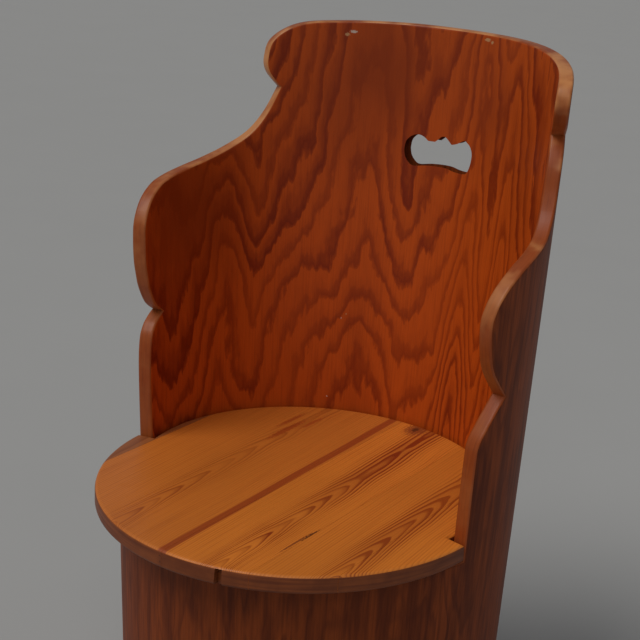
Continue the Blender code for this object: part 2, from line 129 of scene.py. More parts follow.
class Nodes:
    """Short ways to add shader nodes to one material."""

    def __init__(self, name):
        self.material = bpy.data.materials.new(name)
        self.material.use_nodes = True
        self.tree = self.material.node_tree
        self.shader = self.tree.nodes["Principled BSDF"]

    def add(self, kind, **settings):
        node = self.tree.nodes.new(kind)
        for key, value in settings.items():
            setattr(node, key, value)
        return node

    def plug(self, socket, value):
        if hasattr(value, "is_output"):
            self.tree.links.new(value, socket)
        else:
            socket.default_value = value

    def math(self, operation, a, b=0.0, c=0.0, clamp=False):
        node = self.add("ShaderNodeMath", operation=operation, use_clamp=clamp)
        for socket, value in zip(node.inputs, (a, b, c)):
            self.plug(socket, value)
        return node.outputs[0]

    def vector(self, x, y, z):
        node = self.add("ShaderNodeCombineXYZ")
        for socket, value in zip(node.inputs, (x, y, z)):
            self.plug(socket, value)
        return node.outputs[0]

    def stretch(self, a, scale_a, b, scale_b, c):
        """A place to read noise at: a and b, each scaled, and c as it is."""
        return self.vector(self.math("MULTIPLY", a, scale_a), self.math("MULTIPLY", b, scale_b), c)

    def noise(self, place, scale, detail=2.0, rough=0.5, distortion=0.0):
        node = self.add("ShaderNodeTexNoise")
        self.plug(node.inputs["Vector"], place)
        node.inputs["Scale"].default_value = scale
        node.inputs["Detail"].default_value = detail
        node.inputs["Roughness"].default_value = rough
        node.inputs["Distortion"].default_value = distortion
        return node.outputs["Fac"]

    def curve(self, value, stops):
        """A smooth curve of value through (value, level) stops."""
        node = self.add("ShaderNodeValToRGB")
        node.color_ramp.interpolation = "EASE"
        band = node.color_ramp.elements
        while len(band) < len(stops):
            band.new(0.5)
        for element, (place, level) in zip(band, stops):
            element.position = place
            element.color = (level, level, level, 1.0)
        self.plug(node.inputs["Fac"], value)
        return node.outputs["Color"]

    def mix(self, fac, a, b, blend="MIX"):
        node = self.add("ShaderNodeMix", data_type="RGBA", blend_type=blend)
        self.plug(node.inputs[0], fac)
        self.plug(node.inputs[6], a if hasattr(a, "is_output") else (*a, 1.0))
        self.plug(node.inputs[7], b if hasattr(b, "is_output") else (*b, 1.0))
        return node.outputs[2]

    def span(self, value, low, high, out_low=0.0, out_high=1.0):
        """A smooth step from out_low to out_high as value goes from low to high."""
        node = self.add("ShaderNodeMapRange", interpolation_type="SMOOTHSTEP")
        for socket, number in zip(list(node.inputs)[:5], (value, low, high, out_low, out_high)):
            self.plug(socket, number)
        return node.outputs[0]

    def bell(self, value, middle, half):
        """A smooth hump of height 1 at middle."""
        off = self.math("DIVIDE", self.math("SUBTRACT", value, middle), half)
        return self.math("EXPONENT", self.math("MULTIPLY", self.math("MULTIPLY", off, off), -1.0))

    def place(self):
        """Position on the piece itself, in metres, as x, y and z."""
        split = self.add("ShaderNodeSeparateXYZ")
        self.plug(split.inputs[0], self.add("ShaderNodeTexCoord").outputs["Object"])
        return split.outputs

    def bump(self, height, distance, strength=1.0, under=None):
        node = self.add("ShaderNodeBump")
        node.inputs["Strength"].default_value = strength
        node.inputs["Distance"].default_value = distance
        self.plug(node.inputs["Height"], height)
        if under is not None:
            self.plug(node.inputs["Normal"], under)
        return node.outputs["Normal"]

    def finish(self, colour, roughness, normal, coat=0.0, coat_roughness=0.2, specular=0.5):
        self.plug(self.shader.inputs["Base Color"], colour)
        self.plug(self.shader.inputs["Roughness"], roughness)
        self.plug(self.shader.inputs["Normal"], normal)
        self.shader.inputs["Specular IOR Level"].default_value = specular
        self.shader.inputs["Coat Weight"].default_value = coat
        self.shader.inputs["Coat Roughness"].default_value = coat_roughness
        return self.material


def fibres(n, across, along, depth):
    """Fine streaks that run with the grain."""
    place = n.stretch(across, 700.0, along, 16.0, depth)
    return n.noise(place, 1.0, 3.0, 0.6)


def round_wall(n):
    """Where a point is on the barrel: degrees from the back's middle, arc length, height above the seat."""
    x, y, z = n.place()
    centred = n.math("MULTIPLY", n.math("SUBTRACT", y, BARREL_Y), 1.0 / DEPTH_RATIO)
    turn = n.math("MULTIPLY", n.math("ARCTAN2", x, centred), 180.0 / math.pi)
    return turn, n.math("MULTIPLY", turn, ARC), n.math("SUBTRACT", z, SEAT_HEIGHT)


def marks(n, colour, across, along, spots, ragged):
    """Small marks: (across, along, half width, half height, colour) each, with ragged edges."""
    for spot_across, spot_along, half_across, half_along, tint in spots:
        dx = n.math("DIVIDE", n.math("SUBTRACT", across, spot_across), half_across)
        dy = n.math("DIVIDE", n.math("SUBTRACT", along, spot_along), half_along)
        far = n.math("SQRT", n.math("ADD", n.math("MULTIPLY", dx, dx), n.math("MULTIPLY", dy, dy)))
        far = n.math("ADD", far, n.math("MULTIPLY", n.math("SUBTRACT", ragged, 0.5), 1.8))
        colour = n.mix(n.span(far, 0.5, 1.15, 0.85, 0.0), colour, tint)
    return colour


def veneer(name, light, dark, hills, painted_shades, seed, spots):
    """Rotary-cut pine: growth rings as nested flames where a hill rises, and upright bands between.

    A ring is a contour of height above the seat less the hills' rise, stirred by three noises. Each hill
    is (degrees from the back's middle, half width, height), and each painted shade is a place darkened
    to paint in the shade that falls on the wall.
    """
    n = Nodes(name)
    turn, across, up = round_wall(n)
    rise = 0.0
    for middle, half, height in hills:
        rise = n.math("ADD", rise, n.math("MULTIPLY", n.bell(turn, middle, half), height))
    rise = n.math("MULTIPLY", rise, n.span(up, 0.13, 0.27, 1.0, 0.45))
    rise = n.math("ADD", rise, n.math("MULTIPLY", n.span(turn, -62.0, -26.0), 0.15))
    rise = n.math("ADD", rise, n.math("MULTIPLY", n.span(turn, 26.0, 66.0), -0.050))
    steeper = n.span(up, 0.14, 0.34, 1.0, 1.45)
    rise = n.math("MULTIPLY", rise, steeper)
    broad_place = n.stretch(across, 15.0, up, 5.5, seed)
    broad = n.math("SUBTRACT", n.noise(broad_place, 1.0, 1.0, 0.4, 0.2), 0.5)
    mid_place = n.stretch(across, 70.0, up, 20.0, seed + 4.0)
    middle = n.math("SUBTRACT", n.noise(mid_place, 1.0, 2.0, 0.55), 0.5)
    jag_place = n.stretch(across, 260.0, up, 80.0, seed + 9.0)
    jagged = n.math("SUBTRACT", n.noise(jag_place, 1.0, 2.0, 0.6), 0.5)
    height = n.math("MULTIPLY", n.math("SUBTRACT", up, rise), RINGS_PER_METRE)
    for stir, rings in ((broad, 4.6), (middle, 1.3), (jagged, 0.42)):
        height = n.math("ADD", height, n.math("MULTIPLY", stir, rings))
    ring = n.math("FRACT", height)
    late = n.curve(ring, [(0.0, 0.0), (0.07, 0.60), (0.16, 1.0), (0.30, 0.80), (0.52, 0.22), (0.80, 0.0)])
    which = n.add("ShaderNodeTexWhiteNoise", noise_dimensions="1D")
    n.plug(which.inputs["W"], n.math("FLOOR", height))
    own = which.outputs["Value"]
    streak = fibres(n, across, up, seed)
    patch_place = n.stretch(across, 11.0, up, 6.0, seed + 20.0)
    patch = n.noise(patch_place, 1.0, 3.0, 0.6)
    strength = n.math("MULTIPLY", n.span(patch, 0.30, 0.60, 0.62, 1.0), n.span(own, 0.0, 1.0, 0.70, 1.1))
    colour = n.mix(n.math("MULTIPLY", late, strength, clamp=True), light, dark)
    filled = n.math("MULTIPLY", n.span(own, 0.55, 0.95), n.span(ring, 0.98, 0.55, 0.0, 0.42))
    colour = n.mix(filled, colour, dark)
    colour = n.mix(n.math("MULTIPLY", n.span(streak, 0.42, 0.72), 0.20), colour, tuple(0.7 * c for c in dark))
    blotch_and_painted_shade = n.span(patch, 0.50, 0.80, 0.0, 0.5)
    # the random blotches are the wood's own tone; on top of them, painted shade darkens the colour where
    # shade falls on the inner wall, at each listed place
    for middle_turn, half_turn, middle_up, half_up, depth in painted_shades:
        dim = n.math("MULTIPLY", n.bell(turn, middle_turn, half_turn), n.bell(up, middle_up, half_up))
        blotch_and_painted_shade = n.math("ADD", blotch_and_painted_shade, n.math("MULTIPLY", dim, depth))
    blotch_and_painted_shade = n.math("MINIMUM", blotch_and_painted_shade, 0.85)
    colour = n.mix(blotch_and_painted_shade, colour, tuple(0.45 * a + 0.30 * b for a, b in zip(dark, light)))
    grit = n.noise(n.vector(across, up, 0.0), 700.0, 2.0, 0.6)
    colour = marks(n, colour, turn, up, spots, grit)
    rough = n.math("ADD", 0.46, n.math("MULTIPLY", streak, 0.10))
    rough = n.math("ADD", n.math("MULTIPLY", late, -0.05), rough)
    relief = n.bump(streak, 0.00010, 0.4)
    relief = n.bump(late, 0.00014, 0.4, relief)
    ripple = n.noise(n.vector(across, up, seed), 120.0, 2.0, 0.5)
    relief = n.bump(ripple, 0.00022, 0.3, relief)
    return n.finish(colour, rough, relief, 0.04, 0.25, 0.22)


def outer_veneer(name, light, dark, seed):
    """The barrel's outside: wavy upright grain, darker and duller than the inside."""
    n = Nodes(name)
    x, y, z = n.place()
    centred = n.math("MULTIPLY", n.math("SUBTRACT", y, BARREL_Y), -1.0 / DEPTH_RATIO)
    across = n.math("MULTIPLY", n.math("ARCTAN2", x, centred), WALL_RADIUS)
    sway_place = n.stretch(across, 24.0, z, 5.5, seed)
    sway = n.noise(sway_place, 1.0, 3.0, 0.5, 0.4)
    line_place = n.stretch(across, 150.0, z, 13.0, seed + 5.0)
    line = n.noise(line_place, 1.0, 3.0, 0.6)
    ring = n.math("FRACT", n.math("ADD", n.math("MULTIPLY", sway, 9.0), n.math("MULTIPLY", line, 0.9)))
    late = n.curve(ring, [(0.0, 0.0), (0.45, 0.25), (0.80, 1.0), (1.0, 0.0)])
    streak = fibres(n, across, z, seed)
    patch_place = n.stretch(across, 10.0, z, 4.0, seed + 20.0)
    patch = n.noise(patch_place, 1.0, 3.0, 0.6)
    colour = n.mix(n.math("MULTIPLY", late, n.span(patch, 0.3, 0.65, 0.15, 0.6)), light, dark)
    colour = n.mix(n.span(line, 0.38, 0.68, 0.0, 0.65), colour, dark)
    colour = n.mix(n.span(streak, 0.42, 0.72, 0.0, 0.30), colour, tuple(0.6 * c for c in dark))
    worn = n.noise(n.stretch(across, 35.0, z, 12.0, seed + 31.0), 1.0, 4.0, 0.65)
    colour = n.mix(n.span(worn, 0.60, 0.78, 0.0, 0.35), colour, tuple(1.35 * c for c in light))
    rough = n.math("ADD", 0.48, n.math("MULTIPLY", streak, 0.14))
    relief = n.bump(streak, 0.00012, 0.5)
    relief = n.bump(line, 0.00020, 0.4, relief)
    return n.finish(colour, rough, relief, 0.02, 0.3, 0.16)


def ply_edge(name, light, dark, worn_colour):
    """The wall's eased edge: smooth, with faint plies along it, rubbed lighter in places with use."""
    n = Nodes(name)
    x, y, z = n.place()
    across, up = round_wall(n)[1:]
    centred = n.math("MULTIPLY", n.math("SUBTRACT", y, BARREL_Y), 1.0 / DEPTH_RATIO)
    reach = n.math("SQRT", n.math("ADD", n.math("MULTIPLY", x, x), n.math("MULTIPLY", centred, centred)))
    grown = n.math("ADD", n.math("MULTIPLY", up, FLARE), 1.0)
    depth = n.math("SUBTRACT", WALL_RADIUS, n.math("DIVIDE", reach, grown))
    wander = n.noise(n.vector(x, y, z), 30.0, 2.0, 0.5)
    plies = n.math("MULTIPLY", depth, 1.0 / PLY_THICK)
    ply = n.math("FRACT", n.math("ADD", plies, n.math("MULTIPLY", wander, 0.5)))
    line = n.curve(ply, [(0.0, 0.6), (0.14, 0.0), (0.86, 0.0), (1.0, 0.6)])
    mottle_place = n.stretch(across, 40.0, depth, 500.0, n.math("MULTIPLY", up, 40.0))
    mottle = n.noise(mottle_place, 1.0, 3.0, 0.6)
    rub = n.noise(n.vector(x, y, z), 26.0, 3.0, 0.6)
    colour = n.mix(n.math("MULTIPLY", line, 0.28), light, dark)
    colour = n.mix(n.span(mottle, 0.40, 0.75, 0.0, 0.55), colour, dark)
    high = n.span(up, 0.10, 0.27, 0.12, 0.80)
    colour = n.mix(n.math("MULTIPLY", n.span(rub, 0.40, 0.66), high), colour, worn_colour)
    rough = n.math("ADD", 0.34, n.math("MULTIPLY", mottle, 0.16))
    relief = n.bump(mottle, 0.00010, 0.4)
    return n.finish(colour, rough, relief, 0.06, 0.2, 0.25)


def plank(
    name, light, dark, pith_x, depth, spacing, lean, seed, contrast, reach_back=1.0, stripe=None, spots=(),
):
    """A flat-sawn pine board: nested pointed arches over the pith, and straight lines to either side.

    The pith runs at pith_x, depth below the top. Rings are spacing apart, and lean sets how far the arches
    climb along the board, as far back as reach_back. The contrast is (away from the pith, near it). A
    stripe is (left, right, colour).
    """
    n = Nodes(name)
    x, y, z = n.place()
    along = n.math("SUBTRACT", y, BARREL_Y)
    across = n.math("ADD", x, n.math("MULTIPLY", along, GRAIN_SKEW))
    sway_place = n.stretch(across, 14.0, along, 9.0, seed)
    sway = n.math("SUBTRACT", n.noise(sway_place, 1.0, 2.0, 0.5), 0.5)
    ripple_place = n.stretch(across, 110.0, along, 24.0, seed + 3.0)
    ripple = n.math("SUBTRACT", n.noise(ripple_place, 1.0, 2.0, 0.55), 0.5)
    side = n.math("ADD", n.math("SUBTRACT", across, pith_x), n.math("MULTIPLY", sway, 0.007))
    down = n.math("SUBTRACT", z, SEAT_HEIGHT - depth)
    reach = n.math("SQRT", n.math("ADD", n.math("MULTIPLY", side, side), n.math("MULTIPLY", down, down)))
    rise = n.math("MULTIPLY", n.math("MINIMUM", along, reach_back), n.bell(side, 0.0, 0.015))
    ring = n.math("ADD", reach, n.math("MULTIPLY", rise, lean))
    ring = n.math("ADD", ring, n.math("MULTIPLY", sway, 0.0060))
    ring = n.math("ADD", ring, n.math("MULTIPLY", ripple, 0.0011))
    height = n.math("ADD", n.math("DIVIDE", ring, spacing), seed * 0.37)
    ring = n.math("FRACT", height)
    late = n.curve(ring, [(0.0, 0.0), (0.34, 0.08), (0.60, 0.50), (0.82, 1.0), (1.0, 0.0)])
    which = n.add("ShaderNodeTexWhiteNoise", noise_dimensions="1D")
    n.plug(which.inputs["W"], n.math("FLOOR", height))
    own = which.outputs["Value"]
    streak = fibres(n, across, along, n.math("MULTIPLY", z, 300.0))
    patch_place = n.stretch(across, 16.0, along, 6.0, seed + 7.0)
    patch = n.noise(patch_place, 1.0, 3.0, 0.6)
    low, high = contrast
    near = n.span(n.math("ABSOLUTE", side), 0.007, 0.017, high, low)
    strength = n.math("MULTIPLY", near, n.span(patch, 0.30, 0.60, 0.45, 1.0))
    strength = n.math("MULTIPLY", strength, n.span(own, 0.0, 1.0, 0.55, 1.15))
    colour = n.mix(n.math("MULTIPLY", late, strength, clamp=True), light, dark)
    core = n.span(n.math("ABSOLUTE", side), 0.003, 0.013, 0.20 * high, 0.0)
    core = n.math("MULTIPLY", core, n.span(patch, 0.34, 0.55))
    colour = n.mix(core, colour, dark)
    colour = n.mix(n.span(streak, 0.42, 0.72, 0.0, 0.22), colour, dark)
    glow = n.noise(n.stretch(across, 9.0, along, 5.0, seed + 40.0), 1.0, 2.0, 0.5)
    colour = n.mix(n.span(glow, 0.35, 0.70, 0.0, 0.50), colour, tuple(0.72 * a for a in light))
    if stripe:
        left, right, tint = stripe
        waver = n.math("MULTIPLY", n.math("SUBTRACT", patch, 0.5), 0.0015)
        at = n.math("ADD", n.math("ADD", x, n.math("MULTIPLY", along, STRIPE_SKEW)), waver)
        past_left = n.span(at, left - STRIPE_BLUR, left + STRIPE_BLUR)
        short_of_right = n.span(at, right - STRIPE_BLUR, right + STRIPE_BLUR, 1.0, 0.0)
        inside = n.math("MULTIPLY", past_left, short_of_right)
        colour = n.mix(n.math("MULTIPLY", inside, n.span(streak, 0.2, 0.6, 0.85, 0.98)), colour, tint)
    grit = n.noise(n.vector(x, y, z), 600.0, 2.0, 0.6)
    colour = marks(n, colour, x, along, spots, grit)
    rough = n.math("ADD", 0.40, n.math("MULTIPLY", streak, 0.14))
    rub_place = n.stretch(x, 70.0, y, 45.0, seed + 30.0)
    rub = n.noise(rub_place, 1.0, 4.0, 0.7)
    rough = n.math("ADD", rough, n.span(rub, 0.55, 0.75, 0.0, 0.10))
    relief = n.bump(streak, 0.00012, 0.5)
    relief = n.bump(late, 0.00014, 0.5, relief)
    return n.finish(colour, rough, relief, 0.12, 0.22, 0.28)


def lip_rim(name, light, dark, spots):
    """The lid's rounded front rim: dull brown, with grain that runs along it."""
    n = Nodes(name)
    x, y, z = n.place()
    place = n.stretch(x, 14.0, y, 14.0, n.math("MULTIPLY", z, 420.0))
    grain = n.noise(place, 1.0, 3.0, 0.6)
    cloud = n.noise(n.vector(x, y, z), 45.0, 3.0, 0.6)
    colour = n.mix(n.span(grain, 0.38, 0.70, 0.0, 0.8), light, dark)
    colour = n.mix(n.span(cloud, 0.40, 0.70, 0.0, 0.5), colour, tuple(0.8 * c for c in dark))
    grit = n.noise(n.vector(x, y, z), 900.0, 2.0, 0.6)
    colour = marks(n, colour, x, z, spots, grit)
    rough = n.math("ADD", 0.42, n.math("MULTIPLY", grain, 0.14))
    return n.finish(colour, rough, n.bump(grain, 0.00012, 0.4), 0.05, 0.3, 0.3)


def enamel(name, colour, chip):
    """Vitreous enamel: deep gloss with a faint ripple and small dark specks."""
    n = Nodes(name)
    x, y, z = n.place()
    spot = n.vector(x, y, z)
    ripple = n.noise(spot, 60.0, 2.0, 0.5)
    speck = n.noise(spot, 420.0, 1.0, 0.5)
    tint = n.mix(n.span(ripple, 0.3, 0.7, 0.0, 0.10), colour, tuple(0.85 * c for c in colour))
    tint = n.mix(n.span(speck, 0.76, 0.80, 0.0, 0.8), tint, chip)
    rough = n.math("ADD", 0.10, n.math("MULTIPLY", ripple, 0.08))
    return n.finish(tint, rough, n.bump(ripple, 0.0006, 0.4), 0.5, 0.05)


def zinc(name):
    """Zinc plated steel with a brushed, slightly mottled face."""
    n = Nodes(name)
    x, y, z = n.place()
    place = n.stretch(x, 400.0, y, 2500.0, n.math("MULTIPLY", z, 400.0))
    grain = n.noise(place, 1.0, 3.0, 0.6)
    cloud = n.noise(n.vector(x, y, z), 350.0, 2.0, 0.5)
    colour = n.mix(cloud, (0.48, 0.47, 0.43), (0.66, 0.65, 0.62))
    n.shader.inputs["Metallic"].default_value = 1.0
    rough = n.math("ADD", 0.25, n.math("MULTIPLY", grain, 0.25))
    return n.finish(colour, rough, n.bump(grain, 0.00005, 0.5))


def nylon(name):
    """Dark moulded nylon, scuffed paler in places."""
    n = Nodes(name)
    x, y, z = n.place()
    grit = n.noise(n.vector(x, y, z), 2200.0, 2.0, 0.6)
    scuff = n.noise(n.vector(x, y, z), 300.0, 3.0, 0.6)
    colour = n.mix(n.span(scuff, 0.5, 0.75, 0.0, 0.5), (0.055, 0.046, 0.040), (0.16, 0.14, 0.12))
    rough = n.math("ADD", 0.45, n.math("MULTIPLY", grit, 0.2))
    return n.finish(colour, rough, n.bump(grit, 0.00008, 0.6))


# ---------------------------------------------------------------- mesh helpers
def wall_reach(z, depth):
    """Half-width of the barrel at height z, depth in from its outer face or on inwards past its inner one."""
    outer = WALL_RADIUS * (1.0 + FLARE * (z - SEAT_HEIGHT))
    inner = (WALL_RADIUS - WALL) * (1.0 + INNER_FLARE * (z - SEAT_HEIGHT))
    if depth > WALL:
        return inner - (depth - WALL)
    return outer + (inner - outer) * depth / WALL


def wall_point(angle, z, depth):
    """A point in the wall: degrees from the front, height, and depth in from the outer face."""
    turn = math.radians(angle)
    reach = wall_reach(z, depth)
    return Vector((reach * math.sin(turn), BARREL_Y - DEPTH_RATIO * reach * math.cos(turn), z))


def smooth_run(points, steps):
    """Points along a smooth curve through points, which breaks at those marked as corners."""
    out = []
    last = len(points) - 1
    for index in range(last):
        here = Vector(points[index][:2])
        there = Vector(points[index + 1][:2])
        before = here if index == 0 or points[index][2] else Vector(points[index - 1][:2])
        after = there if index + 1 == last or points[index + 1][2] else Vector(points[index + 2][:2])
        for step in range(steps):
            t = step / steps
            blend = (
                2.0 * here + (there - before) * t
                + (2.0 * before - 5.0 * here + 4.0 * there - after) * t * t
                + (3.0 * here - before - 3.0 * there + after) * t * t * t
            )
            out.append((blend.x / 2.0, blend.y / 2.0))
    out.append(tuple(points[last][:2]))
    return out


def eased_plate(outline, thickness, ease):
    """A flat plate, its mid-plane at z = 0, with the outline points and rounded edges."""
    curve = bpy.data.curves.new("plate", "CURVE")
    curve.dimensions = "2D"
    curve.fill_mode = "BOTH"
    curve.extrude = thickness / 2.0 - ease
    curve.bevel_depth = ease
    curve.bevel_resolution = 2
    curve.offset = -ease
    spline = curve.splines.new("POLY")
    spline.points.add(len(outline) - 1)
    for target, (x, y) in zip(spline.points, outline):
        target.co = (x, y, 0.0, 1.0)
    spline.use_cyclic_u = True
    carrier = bpy.data.objects.new("plate", curve)
    bpy.context.scene.collection.objects.link(carrier)
    graph = bpy.context.evaluated_depsgraph_get()
    mesh = bpy.data.meshes.new_from_object(carrier.evaluated_get(graph))
    bpy.data.objects.remove(carrier, do_unlink=True)
    bpy.data.curves.remove(curve)
    shape = bmesh.new()
    shape.from_mesh(mesh)
    bpy.data.meshes.remove(mesh)
    bmesh.ops.remove_doubles(shape, verts=shape.verts, dist=0.00001)
    bmesh.ops.recalc_face_normals(shape, faces=shape.faces)
    return shape


def slice_at(shape, point, normal, clear=False):
    """Cut the shape with a plane and return the cut's edges; with clear, drop the side normal points to."""
    geometry = shape.verts[:] + shape.edges[:] + shape.faces[:]
    cut = bmesh.ops.bisect_plane(
        shape, geom=geometry, dist=0.000001, plane_co=point, plane_no=normal, clear_outer=clear,
    )
    return [item for item in cut["geom_cut"] if isinstance(item, bmesh.types.BMEdge)]


def piece(name, shape, materials, body, replaced):
    """Make a visible piece from shape, riding on body in place of the replaced nodes."""
    mesh = bpy.data.meshes.new(name)
    shape.to_mesh(mesh)
    shape.free()
    for material in materials:
        mesh.materials.append(material)
    made = bpy.data.objects.new(name, mesh)
    bpy.context.scene.collection.objects.link(made)
    mesh.shade_smooth()
    mesh.set_sharp_from_angle(angle=math.radians(38.0))
    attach(made, body)
    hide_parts(*replaced)
    return made


def weigh_normals(made):
    """Let large faces lead the shading, so that eased edges look round and flat faces flat."""
    modifier = made.modifiers.new("weights", "WEIGHTED_NORMAL")
    modifier.keep_sharp = True
    modifier.weight = 100


# ---------------------------------------------------------------- the barrel wall
INNER, OUTER, EDGE = range(3)   # the wall's materials, in order


def build_wall():
    """The wall's outline as an eased flat plate, wrapped round the barrel and closed at the back."""
    past = WALL_OVERLAP * ARC
    sides = []
    for edge in (EDGE_RIGHT, EDGE_LEFT):
        marked = [(angle * ARC, SEAT_HEIGHT + height, corner) for angle, height, corner in edge]
        run = smooth_run(marked, CURVE_STEPS)
        sides.append([(run[0][0], UNDER_LID - RIM_GAP)] + run + [(past, run[-1][1])])
    outline = [(-past, WALL_FOOT), (past, WALL_FOOT)]
    outline += list(reversed(sides[0])) + [(-x, z) for x, z in sides[1]]
    shape = eased_plate(outline, WALL, EASE)
    half_turn = 180.0 * ARC
    slice_at(shape, (half_turn, 0.0, 0.0), (1.0, 0.0, 0.0), True)
    slice_at(shape, (-half_turn, 0.0, 0.0), (-1.0, 0.0, 0.0), True)
    columns = int(360.0 / COLUMN_STEP)
    for column in range(1, columns):
        slice_at(shape, ((column * COLUMN_STEP - 180.0) * ARC, 0.0, 0.0), (1.0, 0.0, 0.0))
    for vert in shape.verts:
        vert.co = wall_point(vert.co.x / ARC, vert.co.y, WALL / 2.0 - vert.co.z)
    bmesh.ops.remove_doubles(shape, verts=shape.verts, dist=0.00002)
    bmesh.ops.recalc_face_normals(shape, faces=shape.faces)
    for face in shape.faces:
        centre = face.calc_center_median()
        outward = Vector((centre.x, (centre.y - BARREL_Y) / DEPTH_RATIO ** 2, 0.0)).normalized()
        facing = face.normal.dot(outward)
        face.material_index = INNER if facing < -0.8 else OUTER if facing > 0.8 else EDGE
    return shape


def upright_prism(outline, y_low, y_high):
    """A solid with an (x, z) outline that runs straight along Y."""
    shape = bmesh.new()
    front = [shape.verts.new((x, y_low, z)) for x, z in outline]
    back = [shape.verts.new((x, y_high, z)) for x, z in outline]
    shape.faces.new(front)
    shape.faces.new(list(reversed(back)))
    for index in range(len(outline)):
        after = (index + 1) % len(outline)
        shape.faces.new((front[index], back[index], back[after], front[after]))
    bmesh.ops.recalc_face_normals(shape, faces=shape.faces)
    return shape


def carve(made, shape, material_index):
    """Cut shape out of made for good; the cut faces take one of made's materials."""
    mesh = bpy.data.meshes.new("cutter")
    for face in shape.faces:
        face.material_index = material_index
    shape.to_mesh(mesh)
    shape.free()
    for slot in made.material_slots:
        mesh.materials.append(slot.material)
    cutter = bpy.data.objects.new("cutter", mesh)
    bpy.context.scene.collection.objects.link(cutter)
    modifier = made.modifiers.new("carve", "BOOLEAN")
    modifier.operation = "DIFFERENCE"
    modifier.object = cutter
    modifier.solver = "EXACT"
    graph = bpy.context.evaluated_depsgraph_get()
    carved = bpy.data.meshes.new_from_object(made.evaluated_get(graph))
    made.modifiers.clear()
    made.data = carved
    bpy.data.objects.remove(cutter, do_unlink=True)


# ---------------------------------------------------------------- the lid
TOP, RIM = range(2)             # each board's materials, in order


def lid_outline():
    """The lid's plan: round inside the wall, and out over the front as a lip."""
    points = []
    for step in range(LID_STEPS + 1):
        angle = OPENING_ANGLE + (360.0 - 2.0 * OPENING_ANGLE) * step / LID_STEPS
        point = wall_point(angle, UNDER_LID, WALL + LID_PLAY)
        points.append((point.x, point.y))
    front_y = wall_point(OPENING_ANGLE, UNDER_LID, 0.0).y - BARREL_Y - LIP_PLAY
    lip_turn = math.acos((LIP_CENTRE_Y - front_y) / LIP_HALF_DEPTH)
    lip = []
    for step in range(LID_STEPS + 1):
        turn = -lip_turn + 2.0 * lip_turn * step / LID_STEPS
        y = BARREL_Y + LIP_CENTRE_Y - LIP_HALF_DEPTH * math.cos(turn)
        lip.append((LIP_HALF_WIDTH * math.sin(turn), y))
    corner = (points[0][0], wall_point(OPENING_ANGLE, UNDER_LID, WALL).y - LIP_PLAY)
    return points[1:-1] + [(-corner[0], corner[1])] + lip + [corner]


def build_lid(boards, rim):
    """The lid's boards, cut from one eased outline so that only its rim is rounded."""
    outline = lid_outline()
    beyond = 1.0
    limits = [-beyond] + BOARD_JOINTS + [beyond]
    for index, material in enumerate(boards):
        shape = eased_plate(outline, LID_THICK, LIP_EASE)
        bmesh.ops.translate(shape, verts=shape.verts, vec=(0.0, 0.0, (SEAT_HEIGHT + UNDER_LID) / 2.0))
        for limit, way in ((limits[index], -1.0), (limits[index + 1], 1.0)):
            if abs(limit) < beyond:
                cut = slice_at(shape, (limit - way * JOINT_GAP / 2.0, 0.0, 0.0), (way, 0.0, 0.0), True)
                bmesh.ops.contextual_create(shape, geom=cut)
        bmesh.ops.recalc_face_normals(shape, faces=shape.faces)
        for face in shape.faces:
            rim_side = face.normal.z < 0.6 and face.normal.y < -0.02
            face.material_index = RIM if rim_side or face.normal.z < -0.2 else TOP
        name = f"lid_plank_{index + 1}"
        made = piece(name, shape, [material, rim], "lid", [f"lid_board_{index + 1}"])
        if limits[index] < LIP_SLOT[0] < limits[index + 1]:
            front = BARREL_Y + LIP_CENTRE_Y - LIP_HALF_DEPTH
            left, right = LIP_SLOT
            low, high = UNDER_LID - 0.001, SEAT_HEIGHT - LIP_SLOT_TOP
            slot = [(left, low), (right, low), (right, high), (left + 0.0006, high)]
            carve(made, upright_prism(slot, front - 0.01, front + LIP_SLOT_DEPTH), RIM)
        weigh_normals(made)


# ---------------------------------------------------------------- the pot
def turned_shape(profile, steps, centre):
    """A solid turned about the upright through centre from (radius, height) points."""
    shape = bmesh.new()
    verts = [shape.verts.new((r, 0.0, z)) for r, z in profile]
    edges = [shape.edges.new((a, b)) for a, b in zip(verts, verts[1:])]
    bmesh.ops.spin(
        shape, geom=verts + edges, axis=(0.0, 0.0, 1.0), cent=(0.0, 0.0, 0.0),
        angle=math.tau, steps=steps, use_merge=True,
    )
    bmesh.ops.remove_doubles(shape, verts=shape.verts, dist=0.00002)
    bmesh.ops.recalc_face_normals(shape, faces=shape.faces)
    bmesh.ops.translate(shape, verts=shape.verts, vec=centre)
    return shape


def arc(across, height, radius, start, stop, steps):
    """(radius, height) points on an arc about (across, height), from start to stop degrees."""
    points = []
    for step in range(steps + 1):
        turn = math.radians(start + (stop - start) * step / steps)
        points.append((across + radius * math.cos(turn), height + radius * math.sin(turn)))
    return points


def build_pot(white, trim):
    """An enamelled pot with a rolled rim; its rim's edge has a coloured band."""
    low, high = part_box("pot")
    rim = (high[0] - low[0]) / 2.0
    top, foot = high[2], low[2]
    centre = ((low[0] + high[0]) / 2.0, (low[1] + high[1]) / 2.0, 0.0)
    mouth, base, wall = 0.0862, 0.0677, 0.0016
    corner, lead_in, roll, fillet = 0.012, 0.0040, 0.0014, 0.003
    shy = 0.0001
    profile = [(0.0, foot + wall)]
    profile += arc(base - wall - corner, foot + wall + corner, corner, -90.0, 0.0, 6)
    profile += arc(mouth - wall + lead_in, top - lead_in - 0.0005, lead_in, 180.0, 90.0, 6)
    profile += arc(rim - roll - shy, top - roll - shy, roll, 90.0, -90.0, 8)
    profile += arc(mouth + fillet, top - 2.0 * roll - shy - fillet, fillet, 180.0, 90.0, 6)
    profile += arc(base - corner, foot + corner, corner, 0.0, -90.0, 6)
    profile.append((0.0, foot))
    shape = turned_shape(profile, 128, centre)
    band = 0.0035
    for face in shape.faces:
        middle = face.calc_center_median()
        reach = math.hypot(middle.x - centre[0], middle.y - centre[1])
        face.material_index = 1 if reach > rim - band else 0
    piece("potty_bowl", shape, [white, trim], "pot", ["pot"])


